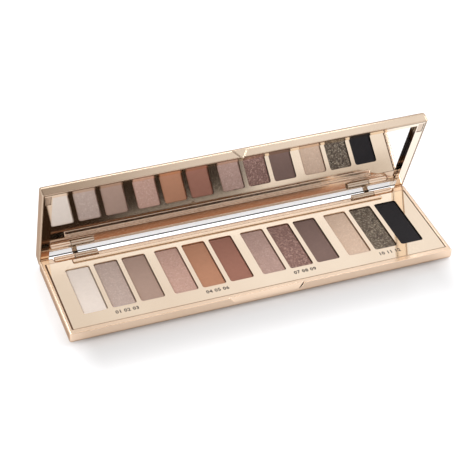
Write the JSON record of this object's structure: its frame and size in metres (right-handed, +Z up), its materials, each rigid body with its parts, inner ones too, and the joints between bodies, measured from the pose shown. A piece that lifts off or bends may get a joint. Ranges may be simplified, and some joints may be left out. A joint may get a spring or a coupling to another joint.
{
  "type": "eyeshadow palette",
  "caption": "Slim hinged eyeshadow palette: metallised case, full-width mirror in the lid, and a row of pressed powder pans in four trios under a flush deck plate.",
  "frame": {"origin": "centre of the base's underside, on the surface it rests on", "axes": "+X along the row of pans, +Y towards the hinge, +Z up out of the deck"},
  "size_m": [0.23, 0.0758, 0.0713],
  "materials": {
    "case_gold": "metallised pale rose gold, satin gloss",
    "deck_gold": "metallised pale gold, gloss",
    "bed_plastic": "moulded, matt",
    "tinplate": "plain tinplate",
    "cream": "pressed powder, matt",
    "rose_taupe_shimmer": "pressed powder, shimmer",
    "taupe_matte": "pressed powder, matt",
    "rose_shimmer": "pressed powder, shimmer",
    "terracotta_matte": "pressed powder, matt",
    "brick_matte": "pressed powder, matt",
    "mauve_shimmer": "pressed powder, shimmer",
    "plum_glitter": "pressed powder, glitter",
    "plum_matte": "pressed powder, matt",
    "sand_shimmer": "pressed powder, shimmer",
    "olive_glitter": "pressed powder, glitter",
    "black_matte": "pressed powder, matt",
    "steel": "plain",
    "bezel_gold": "metallised pale rose gold, gloss",
    "mirror_silver": "silvered glass",
    "foam_tape": "double-sided foam",
    "magnet_nickel": "nickel plated"
  },
  "bodies": {
    "base": {"base_shell": "case_gold", "deck_plate": "deck_gold", "pan_bed": "bed_plastic", "pan_01": "tinplate", "pan_02": "tinplate", "pan_03": "tinplate", "pan_04": "tinplate", "pan_05": "tinplate", "pan_06": "tinplate", "pan_07": "tinplate", "pan_08": "tinplate", "pan_09": "tinplate", "pan_10": "tinplate", "pan_11": "tinplate", "pan_12": "tinplate", "powder_01": "cream", "powder_02": "rose_taupe_shimmer", "powder_03": "taupe_matte", "powder_04": "rose_shimmer", "powder_05": "terracotta_matte", "powder_06": "brick_matte", "powder_07": "mauve_shimmer", "powder_08": "plum_glitter", "powder_09": "plum_matte", "powder_10": "sand_shimmer", "powder_11": "olive_glitter", "powder_12": "black_matte", "hinge_pin_left": "steel", "hinge_pin_right": "steel", "base_magnet_left": "steel", "base_magnet_right": "steel"},
    "lid": {"lid_shell": "case_gold", "mirror_frame": "bezel_gold", "mirror": "mirror_silver", "mirror_tape": "foam_tape", "lid_magnet_left": "magnet_nickel", "lid_magnet_right": "magnet_nickel"}
  },
  "joints": [
    {"name": "lid_hinge", "type": "hinge", "parent": "base", "child": "lid", "pos_m": [0, 0.03255, 0.0058], "axis": [-1, 0, 0], "range_deg": [-70, 22]}
  ]
}
